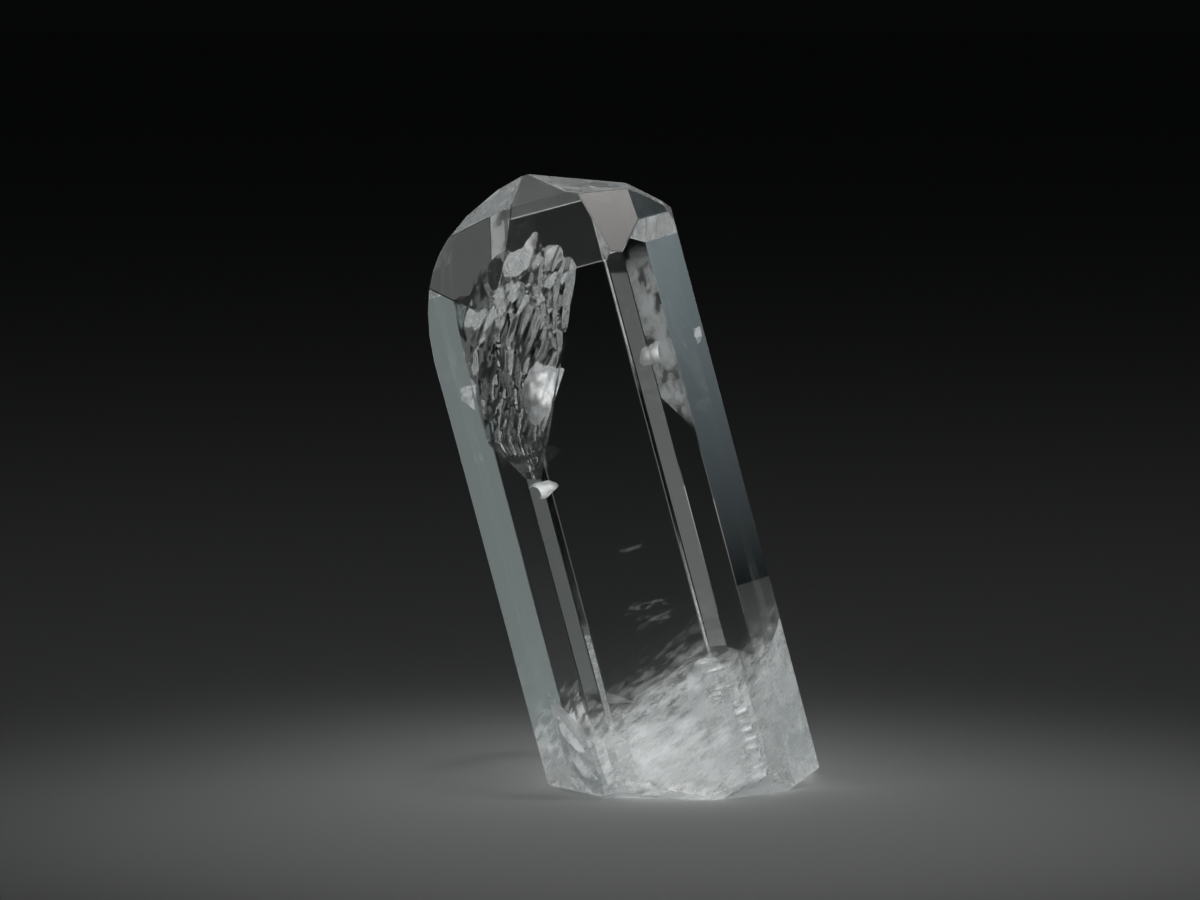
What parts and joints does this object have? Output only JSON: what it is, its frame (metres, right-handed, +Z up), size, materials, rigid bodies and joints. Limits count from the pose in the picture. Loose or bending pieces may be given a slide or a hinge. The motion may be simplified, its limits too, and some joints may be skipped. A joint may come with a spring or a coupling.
{
  "type": "phenakite crystal",
  "caption": "Water-clear prismatic crystal under a low faceted dome, with a dissolved hollow on one front edge; it stands, leaning, on its broken lower end.",
  "frame": {"origin": "on the flat of the broken lower end, where the crystal's long axis meets the surface it stands on; that axis runs midway between the left and right sides and 5.22 mm behind the front face", "axes": "+Z up, away from the surface it stands on; -Y is the front, which carries the dissolved hollow; the crystal leans 14.9 degrees towards -X"},
  "size_m": [0.0141, 0.0121, 0.0219],
  "materials": {
    "clear_phenakite": "glossy"
  },
  "bodies": {
    "root": {"crystal": "clear_phenakite"}
  },
  "joints": []
}
